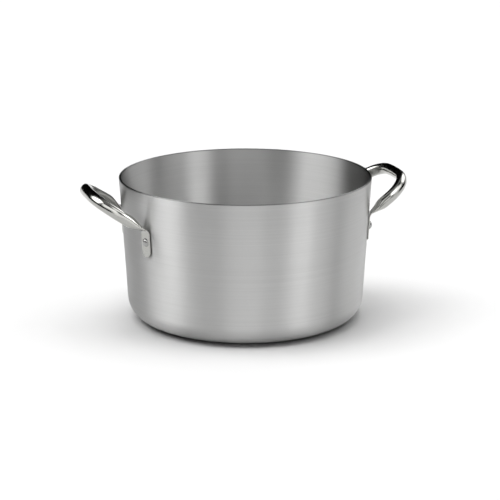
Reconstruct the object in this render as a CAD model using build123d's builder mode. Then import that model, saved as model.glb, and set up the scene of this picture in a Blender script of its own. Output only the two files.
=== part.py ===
from build123d import *
from math import acos, atan2, cos, degrees, radians, sin, tan
import os

os.makedirs("parts", exist_ok=True)

# Pot body, spun from one disc: a 320 mm mouth, a slight taper and a broad rounded foot.
height = 186.0
rim_radius = 163.0
foot_radius = 151.8  # where the outside of the wall would meet the base plane
wall_thickness = 3.0
base_thickness = 4.0
outer_corner_radius = 29.0
inner_corner_radius = 25.5
rim_edge_radius = 1.1

# Handles, each one bent steel tube with both ends pressed flat against the wall.
handle_slope = 33.8  # rise of the loop above horizontal, in degrees
bend_height = 137.8  # where the tube leaves the wall
tab_azimuth = 22.3  # angle between the middle of the handle and each tab
handle_reach = 66.6  # from the wall to the grip's corners, along the slope
grip_half_width = 53.0
grip_corner_radius = 41.0
grip_bow = 2.4  # how far the middle of the grip stands out past its corners
grip_bow_end = 8.0  # where the bow's two sides would meet the middle's tangent
grip_bow_radius = 180.0
wall_bend_radius = 8.0
tube_depth = 15.0  # across the loop's plane
tube_width = 13.4  # in the loop's plane
tube_wall = 0.9
tab_thickness = 2 * tube_wall
tab_width = 16.5
tab_end_height = 103.8
flattened_length = 25.0  # over which the tube opens from flat to full depth
corner_share = 0.45  # corner radius of the tube's section, over its smaller side
seating_gap = 0.1

# Rivets, one in each tab, with a domed head outside and a low flat head inside.
rivet_height = 123.2
shank_radius = 3.0
dome_radius = 5.4
dome_height = 3.0
dome_edge = 0.2
flat_head_radius = 7.0
flat_head_height = 1.6
flat_head_edge = 0.5
flat_head_dish = 0.22

taper = atan2(rim_radius - foot_radius, height)
inner_run = wall_thickness / cos(taper)
loft_sections = 18


def wall_radius(z):
    return foot_radius + (rim_radius - foot_radius) * z / height


def wall_point(azimuth, z):
    radius = wall_radius(z)
    return Vector(radius * cos(azimuth), radius * sin(azimuth), z)


def wall_normal(azimuth):
    return Vector(cos(taper) * cos(azimuth), cos(taper) * sin(azimuth), -sin(taper))


def wall_upward(azimuth):
    return Vector(sin(taper) * cos(azimuth), sin(taper) * sin(azimuth), cos(taper))


def wall_sideways(azimuth):
    return Vector(-sin(azimuth), cos(azimuth), 0)


def ease(share):
    share = min(max(share, 0.0), 1.0)
    return share * share * (3 - 2 * share)


def blend(start, end, share):
    return start + (end - start) * share


# The tabs of a handle stand either side of the +X or the -X direction.
rivet_azimuths = {
    "rivet_right_front": radians(-tab_azimuth),
    "rivet_right_rear": radians(tab_azimuth),
    "rivet_left_rear": radians(180 - tab_azimuth),
    "rivet_left_front": radians(180 + tab_azimuth),
}


def rivet_plane(azimuth, offset):
    normal = wall_normal(azimuth)
    origin = wall_point(azimuth, rivet_height) + normal * offset
    return Plane(origin=origin, x_dir=wall_sideways(azimuth), z_dir=normal)


# Body: one wall and base, open at the top, with a hole for each rivet.
with BuildPart() as pot_body:
    with BuildSketch(Plane.XZ):
        with BuildLine():
            FilletPolyline(
                (0, 0),
                (foot_radius, 0),
                (rim_radius, height),
                (rim_radius - inner_run, height),
                (wall_radius(base_thickness) - inner_run, base_thickness),
                (0, base_thickness),
                radius=[
                    0,
                    outer_corner_radius,
                    rim_edge_radius,
                    rim_edge_radius,
                    inner_corner_radius,
                    0,
                ],
                close=True,
            )
        make_face()
    revolve(axis=Axis.Z)
    for azimuth in rivet_azimuths.values():
        with Locations(rivet_plane(azimuth, 1.0)):
            Hole(radius=shank_radius, depth=2 * wall_thickness)
pot_body.part.label = "pot_body"
export_step(pot_body.part, "parts/pot_body.step")

# Lines of the handle: up the tab, round the wall bend, out along the leg to the grip.
front_azimuth = radians(-tab_azimuth)
tab_normal = wall_normal(front_azimuth)
tab_upward = wall_upward(front_azimuth)
tab_sideways = wall_sideways(front_azimuth)
tab_offset = tab_normal * (seating_gap + tab_thickness / 2)
bend_corner = wall_point(front_azimuth, bend_height) + tab_offset
slope = radians(handle_slope)
loop_plane = Plane(
    origin=(bend_corner.X, 0, bend_corner.Z),
    x_dir=(cos(slope), 0, sin(slope)),
    z_dir=(-sin(slope), 0, cos(slope)),
)
leg_start = loop_plane.to_local_coords(bend_corner)
leg_end = Vector(handle_reach, -grip_half_width, 0)
leg_local = (leg_end - leg_start).normalized()
leg_direction = loop_plane.from_local_coords(leg_end) - bend_corner
leg_direction = leg_direction.normalized()
leg_sideways = leg_direction.cross(loop_plane.z_dir) * -1

bend_angle = acos(tab_upward.dot(leg_direction))
bend_run = wall_bend_radius * tan(bend_angle / 2)
bend_inward = leg_direction - tab_upward * tab_upward.dot(leg_direction)
bend_inward = bend_inward.normalized()
bend_centre = bend_corner - tab_upward * bend_run + bend_inward * wall_bend_radius
bend_length = wall_bend_radius * bend_angle
opening_start = 0.35 * bend_length
opening_length = bend_length + flattened_length - bend_run


def opened_share(distance):
    return ease((distance - opening_start) / (opening_length - opening_start))


def tube_section(distance, shrink):
    share = opened_share(distance)
    width = blend(tab_width, tube_width, share) - 2 * shrink
    depth = blend(tab_thickness, tube_depth, share) - 2 * shrink
    RectangleRounded(width, depth, corner_share * min(width, depth))


def tube_plane(distance):
    if distance < 0:
        heading = tab_upward
        origin = bend_corner + heading * (distance - bend_run)
    elif distance < bend_length:
        turn = distance / wall_bend_radius
        heading = tab_upward * cos(turn) + bend_inward * sin(turn)
        arm = tab_upward * sin(turn) - bend_inward * cos(turn)
        origin = bend_centre + arm * wall_bend_radius
    else:
        heading = leg_direction
        origin = bend_corner + heading * (bend_run + distance - bend_length)
    across = blend(tab_sideways, leg_sideways, opened_share(distance))
    across = across - heading * across.dot(heading)
    return Plane(origin=origin, x_dir=across, z_dir=heading)


def tube_loop(first_distance, shrink):
    with BuildPart() as loop:
        for step in range(loft_sections + 1):
            distance = blend(first_distance, opening_length, step / loft_sections)
            with BuildSketch(tube_plane(distance)):
                tube_section(distance, shrink)
        loft()
        tube_start = leg_start + leg_local * (bend_run + opening_length - bend_length)
        with BuildLine(loop_plane) as centreline:
            FilletPolyline(
                (tube_start.X, tube_start.Y),
                (leg_end.X, leg_end.Y),
                (leg_end.X + grip_bow, -grip_bow_end),
                (leg_end.X + grip_bow, 0),
                radius=[grip_corner_radius, grip_bow_radius],
            )
        with BuildSketch(tube_plane(opening_length)):
            tube_section(opening_length, shrink)
        sweep(path=centreline.wires()[0])
        mirror(about=Plane.XZ)
    return loop.part


# Handle: flat tabs with rounded ends, and the tube between them with its sealed bore.
bore_start = 0.4 * opening_length
tab_top = -5.0
tab_length = (bend_height - tab_end_height) / cos(taper) - bend_run + tab_top
tab_end_plane = Plane(
    origin=tube_plane(tab_top).origin - tab_upward * (tab_length - tab_width / 2),
    x_dir=tab_sideways,
    z_dir=tab_normal,
)
with BuildPart() as handle_right:
    with BuildSketch(tube_plane(tab_top)):
        tube_section(tab_top, 0)
    extrude(amount=-tab_length)
    with BuildSketch(tab_end_plane):
        Rectangle(tab_width + 2, tab_width, align=(Align.CENTER, Align.MAX))
        Circle(tab_width / 2, mode=Mode.SUBTRACT)
    extrude(amount=tab_thickness, both=True, mode=Mode.SUBTRACT)
    with Locations(rivet_plane(front_azimuth, 2 * tab_thickness)):
        Hole(radius=shank_radius, depth=3 * tab_thickness)
    mirror(about=Plane.XZ)
    add(tube_loop(tab_top, 0))
    add(tube_loop(bore_start, tube_wall), mode=Mode.SUBTRACT)
handle_right.part.label = "handle_right"
export_step(handle_right.part, "parts/handle_right.step")

with BuildPart() as handle_left:
    add(handle_right.part, rotation=(0, 0, 180))
handle_left.part.label = "handle_left"
export_step(handle_left.part, "parts/handle_left.step")

# Rivets: the shank fills the holes, and the flat head is dished to clear the curved wall.
tab_face = seating_gap + tab_thickness
flat_head_end = -wall_thickness - flat_head_height
for name, azimuth in rivet_azimuths.items():
    axis_plane = Plane(
        origin=wall_point(azimuth, rivet_height),
        x_dir=wall_sideways(azimuth) * -1,
        z_dir=wall_upward(azimuth),
    )
    with BuildPart() as rivet:
        with BuildSketch(axis_plane):
            with BuildLine():
                Polyline(
                    (0, tab_face + dome_height),
                    (0, flat_head_end),
                    (flat_head_radius - flat_head_edge, flat_head_end),
                    (flat_head_radius, flat_head_end + flat_head_edge),
                    (flat_head_radius, -wall_thickness - flat_head_dish),
                    (shank_radius, -wall_thickness - seating_gap),
                    (shank_radius, tab_face),
                    (dome_radius, tab_face),
                    (dome_radius, tab_face + dome_edge),
                )
                TangentArc(
                    (0, tab_face + dome_height),
                    (dome_radius, tab_face + dome_edge),
                    tangent=(1, 0),
                )
            make_face()
        revolve(axis=Axis(axis_plane.origin, axis_plane.y_dir))
    rivet.part.label = name
    export_step(rivet.part, f"parts/{name}.step")
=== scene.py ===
"""Catering stock pot: turned aluminium body, two riveted bent-tube handles."""

import math

import bmesh
import bpy
from mathutils import Matrix, Vector


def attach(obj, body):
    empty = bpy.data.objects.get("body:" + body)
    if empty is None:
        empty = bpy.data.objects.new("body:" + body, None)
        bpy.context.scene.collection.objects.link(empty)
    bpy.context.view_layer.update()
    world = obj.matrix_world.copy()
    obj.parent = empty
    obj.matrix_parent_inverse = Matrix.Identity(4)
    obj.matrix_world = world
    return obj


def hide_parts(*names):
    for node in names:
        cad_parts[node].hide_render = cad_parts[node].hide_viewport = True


MM = 0.001
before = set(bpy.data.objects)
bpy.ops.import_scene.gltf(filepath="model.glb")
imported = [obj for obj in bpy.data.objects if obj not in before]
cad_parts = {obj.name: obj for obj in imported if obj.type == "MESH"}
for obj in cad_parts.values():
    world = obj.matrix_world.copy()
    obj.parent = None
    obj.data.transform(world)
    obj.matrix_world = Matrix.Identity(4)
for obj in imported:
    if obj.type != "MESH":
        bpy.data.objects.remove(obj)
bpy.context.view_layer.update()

# The pot's sizes are in millimetres, and its materials and the studio are in metres.

# Pot body, spun from one disc.
HEIGHT = 186.0
RIM_RADIUS = 163.0
FOOT_RADIUS = 151.8
WALL = 3.0
BASE = 4.0
OUTER_CORNER = 29.0
INNER_CORNER = 25.5
RIM_EDGE = 1.1
BODY_SEGMENTS = 288
TAPER = math.atan2(RIM_RADIUS - FOOT_RADIUS, HEIGHT)
INNER_RUN = WALL / math.cos(TAPER)

# Handles, each one bent tube with both ends pressed flat against the wall.
HANDLE_SLOPE = math.radians(33.8)
BEND_HEIGHT = 137.8
TAB_AZIMUTH = math.radians(22.3)
HANDLE_REACH = 66.6
GRIP_HALF_WIDTH = 53.0
GRIP_CORNER = 41.0
GRIP_BOW = 2.4  # how far the middle of the grip stands out past its corners
GRIP_BOW_END = 8.0
GRIP_BOW_RADIUS = 180.0
WALL_BEND = 8.0
TUBE_DEPTH = 15.0
TUBE_WIDTH = 13.4
TAB_THICKNESS = 1.8
TAB_WIDTH = 16.5
TAB_END_HEIGHT = 103.8
TAB_END_EDGE = 0.6  # length over which the tab's very end is rounded off
TAB_END_DEPTH = 0.55  # depth left at the very end, over the tab's own
TAB_END_WIDTH = 2.2
FLATTENED_LENGTH = 25.0  # over which the tube opens from flat to full depth
SEATING_GAP = 0.1

SECTION_POINTS = 48
OVAL_POWER = 0.93  # 1 makes a plain ellipse of the tube's section, less squares it
ROUNDING_SPEED = 1.6  # how much sooner the section turns oval than it reaches full depth
TAB_STEPS = 34
BEND_STEPS = 12
PATH_STEP = 2.5
OPENING_START = 0.35  # share of the bend that is still as flat as the tab

# Rivets.
RIVET_HEIGHT = 123.2
SHANK_RADIUS = 3.0
DOME_RADIUS = 5.4
DOME_HEIGHT = 3.0
DOME_EDGE = 0.2
FLAT_HEAD_RADIUS = 7.0
FLAT_HEAD_HEIGHT = 1.6
FLAT_HEAD_EDGE = 0.9
FLAT_HEAD_DISH = 0.22
RIVET_SEGMENTS = 64
DOME_STEPS = 12
EDGE_STEPS = 6


# ---------------------------------------------------------------- geometry helpers

def wall_radius(z):
    return FOOT_RADIUS + (RIM_RADIUS - FOOT_RADIUS) * z / HEIGHT


def wall_point(azimuth, z):
    radius = wall_radius(z)
    return Vector((radius * math.cos(azimuth), radius * math.sin(azimuth), z))


def wall_normal(azimuth):
    flat = math.cos(TAPER)
    return Vector((flat * math.cos(azimuth), flat * math.sin(azimuth), -math.sin(TAPER)))


def wall_upward(azimuth):
    lean = math.sin(TAPER)
    return Vector((lean * math.cos(azimuth), lean * math.sin(azimuth), math.cos(TAPER)))


def wall_sideways(azimuth):
    return Vector((-math.sin(azimuth), math.cos(azimuth), 0.0))


def ease(share):
    share = min(max(share, 0.0), 1.0)
    return share * share * (3.0 - 2.0 * share)


def blend(start, end, share):
    return start + (end - start) * share


def rounded_polyline(corners, arc_step=math.radians(4), line_step=6.0):
    """Points along a 2-D line through corners (x, y, radius), arcs at each radius."""
    points = [Vector(corners[0][:2])]
    for before, here, after in zip(corners, corners[1:], corners[2:]):
        corner = Vector(here[:2])
        back = (Vector(before[:2]) - corner).normalized()
        ahead = (Vector(after[:2]) - corner).normalized()
        radius = here[2]
        if radius <= 0:
            points.append(corner)
            continue
        half = back.angle(ahead) / 2
        run = radius / math.tan(half)
        centre = corner + (back + ahead).normalized() * (radius / math.sin(half))
        start = corner + back * run - centre
        turn = start.angle_signed(corner + ahead * run - centre)
        steps = max(3, math.ceil(abs(turn) / arc_step))
        for step in range(steps + 1):
            angle = -turn * step / steps
            points.append(centre + Matrix.Rotation(angle, 2) @ start)
    points.append(Vector(corners[-1][:2]))
    dense = [points[0]]
    for start, end in zip(points, points[1:]):
        parts = max(1, math.ceil((end - start).length / line_step))
        dense += [start.lerp(end, part / parts) for part in range(1, parts + 1)]
    return dense


def mesh_piece(name, bm, material):
    """Turns a bmesh in millimetres into a smooth-shaded piece that rides on the pot."""
    bmesh.ops.recalc_face_normals(bm, faces=bm.faces)
    bmesh.ops.scale(bm, vec=(MM, MM, MM), verts=bm.verts)
    mesh = bpy.data.meshes.new(name)
    bm.to_mesh(mesh)
    bm.free()
    mesh.shade_smooth()
    mesh.materials.append(material)
    piece = bpy.data.objects.new(name, mesh)
    bpy.context.scene.collection.objects.link(piece)
    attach(piece, "root")
    return piece


def lathe(profile, segments, place=Matrix.Identity(4)):
    """Spins (radius, height) points about the local Z axis; points on the axis close."""
    bm = bmesh.new()
    rings = []
    for radius, height in profile:
        if radius < 1e-6:
            rings.append([bm.verts.new(place @ Vector((0, 0, height)))])
            continue
        ring = []
        for segment in range(segments):
            angle = 2 * math.pi * segment / segments
            x, y = radius * math.cos(angle), radius * math.sin(angle)
            ring.append(bm.verts.new(place @ Vector((x, y, height))))
        rings.append(ring)
    for low, high in zip(rings, rings[1:]):
        for segment in range(segments):
            after = (segment + 1) % segments
            if len(low) == 1:
                bm.faces.new((low[0], high[segment], high[after]))
            elif len(high) == 1:
                bm.faces.new((low[segment], low[after], high[0]))
            else:
                bm.faces.new((low[segment], low[after], high[after], high[segment]))
    return bm


# ---------------------------------------------------------------- materials

# Tints, darkest and lightest, of each metal.
WALL_TINTS = ((0.484, 0.484, 0.480, 1.0), (0.518, 0.518, 0.514, 1.0))
STEEL_TINTS = ((0.405, 0.405, 0.385, 1.0), (0.445, 0.445, 0.425, 1.0))
STEEL_MARK_TINT = (0.34, 0.34, 0.325, 1.0)
RIVET_TINTS = ((0.29, 0.29, 0.285, 1.0), (0.37, 0.37, 0.365, 1.0))
FLOOR_TINTS = ((0.62, 0.62, 0.62, 1.0), (0.64, 0.64, 0.64, 1.0))

# Roughness, least and most, over patches a few centimetres or millimetres across.
WALL_ROUGHNESS = (0.41, 0.47)
STEEL_ROUGHNESS = (0.12, 0.18)
RIVET_ROUGHNESS = (0.20, 0.27)

# Where most values of a noise lie, so that a span from one to the other uses all of it.
NOISE_LOW = 0.3
NOISE_HIGH = 0.7

# Heights between which the cut edge of the rim and the ring that the base stands on, both
# rougher and with painted shade, and the lower wall's painted reflection set in.
RIM_EDGE_HEIGHTS = ((HEIGHT - 1.5) * MM, (HEIGHT - 0.4) * MM)
FOOT_RING_HEIGHTS = (0.0004, 0.003)
PAINTED_REFLECTION_HEIGHTS = (0.02, 0.17)


class Nodes:
    """A short way to add and join the nodes of a material or of the world."""

    def __init__(self, owner, shader):
        owner.use_nodes = True
        self.owner = owner
        self.tree = owner.node_tree
        self.shader = self.tree.nodes[shader]

    def add(self, kind, inputs=None, **settings):
        node = self.tree.nodes.new(kind)
        for key, value in settings.items():
            setattr(node, key, value)
        for key, value in (inputs or {}).items():
            self.feed(value, node.inputs[key])
        return node

    def feed(self, value, socket):
        if isinstance(value, bpy.types.NodeSocket):
            self.tree.links.new(value, socket)
        else:
            socket.default_value = value

    def math(self, operation, *values):
        node = self.add("ShaderNodeMath", operation=operation)
        for index, value in enumerate(values):
            self.feed(value, node.inputs[index])
        return node.outputs[0]

    def vector(self, x, y, z):
        return self.add("ShaderNodeCombineXYZ", {"X": x, "Y": y, "Z": z}).outputs[0]

    def noise(self, vector, scale, detail=3.0, roughness=0.55):
        inputs = {"Vector": vector, "Scale": scale, "Detail": detail, "Roughness": roughness}
        return self.add("ShaderNodeTexNoise", inputs).outputs["Fac"]

    def span(self, value, low, high, start=0.0, end=1.0):
        """Maps value from start..end to low..high, and holds it there beyond both."""
        inputs = {"Value": value, "From Min": start, "From Max": end}
        node = self.add("ShaderNodeMapRange", inputs)
        node.inputs["To Min"].default_value = low
        node.inputs["To Max"].default_value = high
        return node.outputs[0]

    def mix(self, factor, first, second):
        node = self.add("ShaderNodeMix", data_type="RGBA")
        self.feed(factor, node.inputs["Factor"])
        self.feed(first, node.inputs[6])
        self.feed(second, node.inputs[7])
        return node.outputs[2]

    def bump(self, height, distance, strength):
        node = self.add("ShaderNodeBump", {"Height": height})
        node.inputs["Distance"].default_value = distance
        node.inputs["Strength"].default_value = strength
        return node.outputs[0]


def material_nodes(name):
    return Nodes(bpy.data.materials.new(name), "Principled BSDF")


def turned_aluminium():
    """Satin aluminium with fine lines round the pot's axis, inside and out."""
    n = material_nodes("turned_aluminium")
    point = n.add("ShaderNodeTexCoord").outputs["Object"]
    axes = n.add("ShaderNodeSeparateXYZ", {"Vector": point}).outputs
    radius = n.math("SQRT", n.math("ADD", n.math("MULTIPLY", axes[0], axes[0]),
                                   n.math("MULTIPLY", axes[1], axes[1])))
    angle = n.math("ARCTAN2", axes[1], axes[0])

    # Turned lines and bands that drift a little on their way round, and short scuffs.
    swing = n.math("MULTIPLY", n.math("SINE", angle), 0.002)
    rings = n.vector(radius, swing, axes[2])
    fine = n.noise(rings, 2600.0, 2.0)
    lines = n.noise(rings, 650.0, 3.0)
    bands = n.noise(rings, 90.0, 2.0)
    cloud = n.noise(point, 9.0, 4.0)
    along = n.math("MULTIPLY", angle, 0.16)
    upward = n.math("MULTIPLY", axes[2], 0.25)
    scuffs = n.noise(n.vector(along, radius, upward), 420.0, 4.0)
    worn = n.span(scuffs, 0.0, 1.0, 0.62, 0.72)

    # The rim's cut edge and the ring that the base stands on are rougher than the wall. Their
    # colour is darkened too: painted shade on the rim's upward-facing cut edge, and painted
    # shadow on the foot ring where the base meets the floor.
    rim_dull_and_painted_shade = n.span(axes[2], 0.0, 1.0, *RIM_EDGE_HEIGHTS)
    foot_dull_and_painted_shadow = n.span(axes[2], 1.0, 0.0, *FOOT_RING_HEIGHTS)

    rough = n.math("ADD", n.span(lines, -0.02, 0.02),
                   n.span(cloud, *WALL_ROUGHNESS, NOISE_LOW, NOISE_HIGH))
    for place, extra in ((rim_dull_and_painted_shade, 0.15), (foot_dull_and_painted_shadow, 0.12), (worn, 0.04)):
        rough = n.math("ADD", rough, n.math("MULTIPLY", place, extra))
    n.feed(rough, n.shader.inputs["Roughness"])

    tint = n.mix(n.span(lines, 0.0, 1.0, NOISE_LOW, NOISE_HIGH), *WALL_TINTS)
    shade = n.math("ADD", n.span(bands, 0.99, 1.01, NOISE_LOW, NOISE_HIGH),
                   n.span(cloud, -0.015, 0.015, NOISE_LOW, NOISE_HIGH))
    # Painted shade on the rim's cut edge and painted shadow on the foot ring; the scuffs are
    # real wear, a little lighter.
    for place, extra in ((rim_dull_and_painted_shade, -0.45), (foot_dull_and_painted_shadow, -0.25), (worn, 0.04)):
        shade = n.math("ADD", shade, n.math("MULTIPLY", place, extra))
    # Painted reflection: the lower wall is painted brighter towards the foot, standing in for
    # the bright floor it reflects, and a little darker above.
    painted_floor_reflection = n.span(axes[2], 1.08, 0.97, *PAINTED_REFLECTION_HEIGHTS)
    shade = n.math("MULTIPLY", shade, painted_floor_reflection)
    scale = n.add("ShaderNodeVectorMath", operation="SCALE")
    n.feed(tint, scale.inputs[0])
    n.feed(shade, scale.inputs["Scale"])
    n.feed(scale.outputs[0], n.shader.inputs["Base Color"])

    n.shader.inputs["Metallic"].default_value = 1.0
    n.shader.inputs["Anisotropic"].default_value = 1.0
    n.shader.inputs["Anisotropic Rotation"].default_value = 0.25
    tangent = n.add("ShaderNodeTangent", direction_type="RADIAL", axis="Z").outputs[0]
    n.feed(tangent, n.shader.inputs["Tangent"])
    height = n.math("ADD", n.math("MULTIPLY", fine, 0.5), lines)
    n.feed(n.bump(height, 0.00002, 0.5), n.shader.inputs["Normal"])
    return n.owner


def polished_steel():
    """Polished stainless tube with a faint grain, handling marks and fine scratches."""
    n = material_nodes("polished_steel")
    point = n.add("ShaderNodeTexCoord").outputs["Object"]
    grain = n.noise(point, 900.0, 3.0)
    cloud = n.noise(point, 45.0, 3.0)
    stretched = n.add("ShaderNodeMapping", {"Vector": point})
    stretched.inputs["Scale"].default_value = (1.0, 0.12, 1.0)
    scratches = n.noise(stretched.outputs[0], 700.0, 4.0, 0.7)
    marks = n.span(scratches, 0.0, 1.0, 0.60, 0.72)
    rough = n.math("ADD", n.span(cloud, *STEEL_ROUGHNESS, NOISE_LOW, NOISE_HIGH),
                   n.math("MULTIPLY", marks, 0.06))
    n.feed(rough, n.shader.inputs["Roughness"])
    tint = n.mix(n.span(grain, 0.0, 1.0, NOISE_LOW, NOISE_HIGH), *STEEL_TINTS)
    tint = n.mix(n.math("MULTIPLY", marks, 0.5), tint, STEEL_MARK_TINT)
    n.feed(tint, n.shader.inputs["Base Color"])
    n.shader.inputs["Metallic"].default_value = 1.0
    n.feed(n.bump(n.math("ADD", grain, marks), 0.00002, 0.3), n.shader.inputs["Normal"])
    return n.owner


def rivet_aluminium():
    """Aluminium rivet, dulled by the setting tool and by washing."""
    n = material_nodes("rivet_aluminium")
    point = n.add("ShaderNodeTexCoord").outputs["Object"]
    grain = n.noise(point, 1400.0, 3.0)
    cloud = n.noise(point, 260.0, 2.0)
    rough = n.math("ADD", n.span(grain, -0.02, 0.02, NOISE_LOW, NOISE_HIGH),
                   n.span(cloud, *RIVET_ROUGHNESS, NOISE_LOW, NOISE_HIGH))
    n.feed(rough, n.shader.inputs["Roughness"])
    tint = n.mix(n.span(cloud, 0.0, 1.0, NOISE_LOW, NOISE_HIGH), *RIVET_TINTS)
    n.feed(tint, n.shader.inputs["Base Color"])
    n.shader.inputs["Metallic"].default_value = 1.0
    n.feed(n.bump(grain, 0.00003, 0.2), n.shader.inputs["Normal"])
    return n.owner


# ---------------------------------------------------------------- pieces

def build_body(material):
    outer = rounded_polyline([
        (0.0, 0.0, 0),
        (FOOT_RADIUS, 0.0, OUTER_CORNER),
        (RIM_RADIUS, HEIGHT, RIM_EDGE),
        (RIM_RADIUS - INNER_RUN, HEIGHT, RIM_EDGE),
        (wall_radius(BASE) - INNER_RUN, BASE, INNER_CORNER),
        (0.0, BASE, 0),
    ])
    spun = lathe(outer, BODY_SEGMENTS)
    piece = mesh_piece("pot_wall_and_base", spun, material)
    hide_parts("pot_body")


def section(width, depth, opened):
    """Points round the tube: a slot with round ends where pressed flat, an oval when open."""
    end = min(width, depth) / 2
    points = []
    for index in range(SECTION_POINTS):
        angle = 2 * math.pi * (index + 0.5) / SECTION_POINTS
        c, s = math.cos(angle), math.sin(angle)
        slot = (math.copysign(width / 2 - end, c) + end * c,
                math.copysign(depth / 2 - end, s) + end * s)
        oval = (math.copysign(abs(c) ** OVAL_POWER, c) * width / 2,
                math.copysign(abs(s) ** OVAL_POWER, s) * depth / 2)
        points.append((blend(slot[0], oval[0], opened), blend(slot[1], oval[1], opened)))
    return points


class HandleLine:
    """Where the handle's tube runs: up the front tab, round the bend, out and across."""

    def __init__(self):
        azimuth = -TAB_AZIMUTH
        self.normal = wall_normal(azimuth)
        self.upward = wall_upward(azimuth)
        self.sideways = wall_sideways(azimuth)
        offset = self.normal * (SEATING_GAP + TAB_THICKNESS / 2)
        self.corner = wall_point(azimuth, BEND_HEIGHT) + offset
        self.along = Vector((math.cos(HANDLE_SLOPE), 0, math.sin(HANDLE_SLOPE)))
        self.across = Vector((0, 1, 0))
        self.plane_normal = Vector((-math.sin(HANDLE_SLOPE), 0, math.cos(HANDLE_SLOPE)))
        self.origin = Vector((self.corner.x, 0, self.corner.z))
        flat = rounded_polyline([
            (0.0, self.corner.y, 0),
            (HANDLE_REACH, -GRIP_HALF_WIDTH, GRIP_CORNER),
            (HANDLE_REACH + GRIP_BOW, -GRIP_BOW_END, GRIP_BOW_RADIUS),
            (HANDLE_REACH + GRIP_BOW, 0.0, 0),
        ], line_step=PATH_STEP)
        self.leg = (self.loop_point(flat[1]) - self.corner).normalized()
        self.leg_sideways = self.plane_normal.cross(self.leg)
        self.bend_angle = self.upward.angle(self.leg)
        self.bend_run = WALL_BEND * math.tan(self.bend_angle / 2)
        inward = self.leg - self.upward * self.upward.dot(self.leg)
        self.inward = inward.normalized()
        self.bend_length = WALL_BEND * self.bend_angle
        self.opening_start = OPENING_START * self.bend_length
        self.opening_length = self.bend_length + FLATTENED_LENGTH - self.bend_run
        self.flat = flat

    def loop_point(self, point):
        return self.origin + self.along * point[0] + self.across * point[1]

    def opened(self, distance):
        span = self.opening_length - self.opening_start
        return ease((distance - self.opening_start) / span)

    def stations(self):
        """(centre, heading, distance) from the tab's end to the middle of the grip."""
        result = []
        tab_length = (BEND_HEIGHT - TAB_END_HEIGHT) / math.cos(TAPER) - self.bend_run
        bend_start = self.corner - self.upward * self.bend_run
        for step in range(TAB_STEPS):
            distance = -tab_length * (1 - step / TAB_STEPS)
            result.append((bend_start + self.upward * distance, self.upward, distance))
        centre = bend_start + self.inward * WALL_BEND
        for step in range(BEND_STEPS):
            turn = self.bend_angle * step / BEND_STEPS
            heading = self.upward * math.cos(turn) + self.inward * math.sin(turn)
            arm = self.upward * math.sin(turn) - self.inward * math.cos(turn)
            result.append((centre + arm * WALL_BEND, heading, WALL_BEND * turn))
        start = self.corner + self.leg * self.bend_run
        clear = self.bend_run + 1.0
        loop = [self.loop_point(point) for point in self.flat]
        path = [start] + [point for point in loop if (point - self.corner).length > clear]
        travelled = self.bend_length
        result.append((start, self.leg, travelled))
        for before, point, after in zip(path, path[1:], path[2:]):
            travelled += (point - before).length
            result.append((point, (after - before).normalized(), travelled))
        travelled += (path[-1] - path[-2]).length
        result.append((path[-1], self.across, travelled))
        return result, tab_length


def handle_rings(line):
    """Cross-sections of half the handle, as lists of points in millimetres."""
    stations, tab_length = line.stations()
    rings = []
    end_radius = TAB_WIDTH / 2
    for centre, heading, distance in stations:
        share = line.opened(distance)
        width = blend(TAB_WIDTH, TUBE_WIDTH, share)
        depth = blend(TAB_THICKNESS, TUBE_DEPTH, share)
        from_end = distance + tab_length
        if from_end < end_radius:
            inside = max(1 - (1 - from_end / end_radius) ** 2, 0.0)
            width = max(width * math.sqrt(inside), TAB_END_WIDTH)
            if from_end < TAB_END_EDGE:
                rounding = math.sqrt(1 - (1 - from_end / TAB_END_EDGE) ** 2)
                depth *= blend(TAB_END_DEPTH, 1.0, rounding)
        if share < 1:
            side = blend(line.sideways, line.leg_sideways, share)
        else:
            side = line.plane_normal.cross(heading)
        side = (side - heading * side.dot(heading)).normalized()
        up = heading.cross(side)
        outline = section(width, depth, min(1.0, share * ROUNDING_SPEED))
        rings.append([centre + side * x + up * y for x, y in outline])
    return rings


def build_handle(name, turn, material):
    half = handle_rings(HandleLine())
    mirror = [[Vector((p.x, -p.y, p.z)) for p in ring] for ring in reversed(half[:-1])]
    place = Matrix.Rotation(turn, 4, "Z")
    bm = bmesh.new()
    rings = [[bm.verts.new(place @ p) for p in ring] for ring in half + mirror]
    for low, high in zip(rings, rings[1:]):
        for index in range(SECTION_POINTS):
            after = (index + 1) % SECTION_POINTS
            bm.faces.new((low[index], low[after], high[after], high[index]))
    bm.faces.new(rings[0])
    bm.faces.new(rings[-1])
    piece = mesh_piece(name + "_tube", bm, material)
    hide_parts(name)


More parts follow.
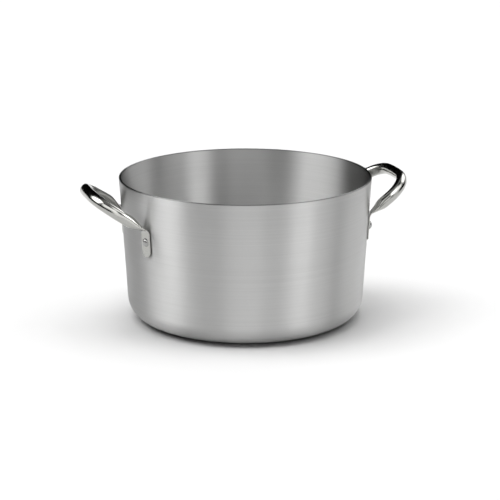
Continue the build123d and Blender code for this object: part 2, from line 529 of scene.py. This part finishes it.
def build_rivet(name, azimuth, material):
    tab_face = SEATING_GAP + TAB_THICKNESS
    rise = DOME_HEIGHT - DOME_EDGE
    sphere = (DOME_RADIUS ** 2 + rise ** 2) / (2 * rise)
    inner_end = -WALL - FLAT_HEAD_HEIGHT
    profile = [(0.0, inner_end), (FLAT_HEAD_RADIUS / 2, inner_end)]
    for step in range(EDGE_STEPS + 1):
        turn = math.pi / 2 * step / EDGE_STEPS
        profile.append((FLAT_HEAD_RADIUS - FLAT_HEAD_EDGE * (1 - math.sin(turn)),
                        inner_end + FLAT_HEAD_EDGE * (1 - math.cos(turn))))
    profile.append((FLAT_HEAD_RADIUS, -WALL - FLAT_HEAD_DISH))
    profile.append((SHANK_RADIUS, -WALL - SEATING_GAP))
    profile.append((SHANK_RADIUS, tab_face))
    profile.append((DOME_RADIUS, tab_face))
    reach = math.asin(DOME_RADIUS / sphere)
    for step in range(DOME_STEPS + 1):
        turn = reach * (1 - step / DOME_STEPS)
        profile.append((sphere * math.sin(turn),
                        tab_face + DOME_HEIGHT - sphere * (1 - math.cos(turn))))
    normal = wall_normal(azimuth)
    axes = Matrix((wall_sideways(azimuth), wall_upward(azimuth), normal))
    place = axes.transposed().to_4x4()
    place.translation = wall_point(azimuth, RIVET_HEIGHT)
    spun = lathe(profile, RIVET_SEGMENTS, place)
    piece = mesh_piece(name + "_heads", spun, material)
    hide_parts(name)


ALUMINIUM = turned_aluminium()
STEEL = polished_steel()
RIVET = rivet_aluminium()

build_body(ALUMINIUM)
build_handle("handle_right", 0.0, STEEL)
build_handle("handle_left", math.pi, STEEL)
for rivet_name, rivet_azimuth in (
    ("rivet_right_front", -TAB_AZIMUTH),
    ("rivet_right_rear", TAB_AZIMUTH),
    ("rivet_left_rear", math.pi - TAB_AZIMUTH),
    ("rivet_left_front", math.pi + TAB_AZIMUTH),
):
    build_rivet(rivet_name, rivet_azimuth, RIVET)


# ---------------------------------------------------------------- floor, light, camera

VIEW_AZIMUTH = math.radians(-17.15)
VIEW_ELEVATION = math.radians(15.06)
VIEW_DISTANCE = 2.517  # in metres, as are all places from here on
AIM = Vector((0.0, 0.0, HEIGHT * MM / 2))
LENS = 139.12
LENS_SHIFT = (0.0093, -0.0109)
FLOOR_RADIUS = 9.0
LAMP_DISTANCE = 3.0
SOFT_BOX_WIDTH = 0.45  # over its distance from the pot
SOFT_BOX_HEIGHT = 0.35
SOFT_BOX_AIM = Vector((0.0, 0.0, 0.12))


def direction(azimuth, elevation):
    """Unit vector towards a place seen from the pot; azimuth 0 is -Y, positive to +X."""
    flat = math.cos(elevation)
    return Vector((flat * math.sin(azimuth), -flat * math.cos(azimuth), math.sin(elevation)))


def aim_at(thing, target):
    thing.rotation_euler = (target - thing.location).to_track_quat("-Z", "Y").to_euler()


def build_floor():
    n = material_nodes("studio_floor")
    point = n.add("ShaderNodeTexCoord").outputs["Object"]
    cloud = n.noise(point, 3.0, 3.0)
    n.feed(n.mix(cloud, *FLOOR_TINTS), n.shader.inputs["Base Color"])
    n.shader.inputs["Roughness"].default_value = 0.9
    n.shader.inputs["Specular IOR Level"].default_value = 0.0
    bm = bmesh.new()
    bmesh.ops.create_circle(bm, cap_ends=True, cap_tris=True, segments=96, radius=FLOOR_RADIUS)
    mesh = bpy.data.meshes.new("floor")
    bm.to_mesh(mesh)
    bm.free()
    mesh.materials.append(n.owner)
    floor = bpy.data.objects.new("floor", mesh)
    bpy.context.scene.collection.objects.link(floor)


# Soft panels round the pot, seen only in the metal: name, azimuth of the middle from the
# camera, width, lowest and highest elevation, all in degrees, and brightness.
SOFT_PANELS = (
    ("left", -95, 40, 22, 49, 5.6),
    ("front", -20, 72, 22, 49, 2.0),
    ("right", 74, 52, 22, 49, 2.1),
    ("right_behind", 134, 42, 22, 49, 4.4),
    ("low_front", 12, 60, -12, 22, 1.5),
    ("low_right", 67, 30, -12, 22, 0.95),
    ("low_behind", 142, 28, -12, 22, 0.8),
    ("high_right", 50, 70, 49, 72, 1.9),
    ("high_left", -113, 40, 49, 72, 0.6),
    ("high_behind", 155, 40, 49, 72, 0.35),
    ("overhead", 0, 400, 72, 120, 0.26),
)
PANEL_SOFTNESS = 14

# Lamps seen only by the floor: name, azimuth from the camera, elevation, strength, spread.
FLOOR_LAMPS = (
    ("lamp_overhead", 0, 90, 1.45, 30),
    ("lamp_left", -90, 60, 2.2, 40),
    ("lamp_behind", 180, 60, 0.75, 40),
    ("lamp_right", 90, 60, 0.7, 40),
    ("lamp_right_behind", 135, 60, 0.45, 40),
    ("lamp_right_low", 90, 35, 0.3, 40),
    ("lamp_front_left", -45, 35, 0.1, 40),
)

# Soft boxes close to the pot, seen only in the metal: name, azimuth, distance, height,
# radiance.
SOFT_BOXES = (
    ("soft_box_left", -76, 0.8, 1.0, 10.0),
    ("soft_box_far_left", -76, 1.4, 1.0, 1.5),
    ("soft_box_right", 54, 0.9, 0.8, 5.0),
)


def window(n, value, middle, width):
    """1 within width of the middle, in radians, and 0 beyond its soft edges."""
    away = n.math("ABSOLUTE", n.math("SUBTRACT", value, middle))
    edge = math.radians(PANEL_SOFTNESS) / 2
    return n.span(away, 1.0, 0.0, width / 2 - edge, width / 2 + edge)


def build_world():
    world = bpy.data.worlds.new("studio")
    bpy.context.scene.world = world
    n = Nodes(world, "Background")
    point = n.add("ShaderNodeTexCoord").outputs["Generated"]
    axes = n.add("ShaderNodeSeparateXYZ", {"Vector": point}).outputs
    azimuth = n.math("ARCTAN2", axes[0], n.math("MULTIPLY", axes[1], -1.0))
    elevation = n.math("ARCSINE", axes[2])
    total = 0.0
    for _, middle, width, lowest, highest, brightness in SOFT_PANELS:
        towards = VIEW_AZIMUTH + math.radians(middle)
        turned = n.math("WRAP", n.math("SUBTRACT", azimuth, towards), math.pi, -math.pi)
        across = window(n, turned, 0.0, math.radians(width))
        up = window(n, elevation, math.radians((lowest + highest) / 2),
                    math.radians(highest - lowest))
        panel = n.math("MULTIPLY", n.math("MULTIPLY", across, up), brightness)
        total = n.math("ADD", total, panel)
    n.feed(total, n.shader.inputs["Strength"])
    n.feed((1.0, 1.0, 1.0, 1.0), n.shader.inputs["Color"])
    world.cycles_visibility.diffuse = False


def hang_lamp(name, light, place, target):
    lamp = bpy.data.objects.new(name, light)
    lamp.location = place
    aim_at(lamp, target)
    bpy.context.scene.collection.objects.link(lamp)
    return lamp


def build_lamps():
    for name, azimuth, elevation, strength, spread in FLOOR_LAMPS:
        light = bpy.data.lights.new(name, "SUN")
        light.energy = strength
        light.angle = math.radians(spread)
        towards = direction(VIEW_AZIMUTH + math.radians(azimuth), math.radians(elevation))
        hang_lamp(name, light, AIM + towards * LAMP_DISTANCE, AIM).visible_glossy = False
    for name, azimuth, distance, height, radiance in SOFT_BOXES:
        light = bpy.data.lights.new(name, "AREA")
        light.shape = "RECTANGLE"
        light.size = SOFT_BOX_WIDTH * distance
        light.size_y = SOFT_BOX_HEIGHT
        light.energy = radiance * math.pi * light.size * light.size_y
        place = direction(VIEW_AZIMUTH + math.radians(azimuth), 0) * distance
        place.z = height
        hang_lamp(name, light, place, SOFT_BOX_AIM).visible_diffuse = False


def build_camera():
    data = bpy.data.cameras.new("camera")
    data.sensor_width = 36.0
    data.lens = LENS
    data.shift_x, data.shift_y = LENS_SHIFT
    data.clip_end = 50.0
    camera = bpy.data.objects.new("camera", data)
    camera.location = AIM + direction(VIEW_AZIMUTH, VIEW_ELEVATION) * VIEW_DISTANCE
    aim_at(camera, AIM)
    bpy.context.scene.collection.objects.link(camera)
    bpy.context.scene.camera = camera


build_floor()
build_world()
build_lamps()
build_camera()
bpy.context.scene.view_settings.view_transform = "Standard"
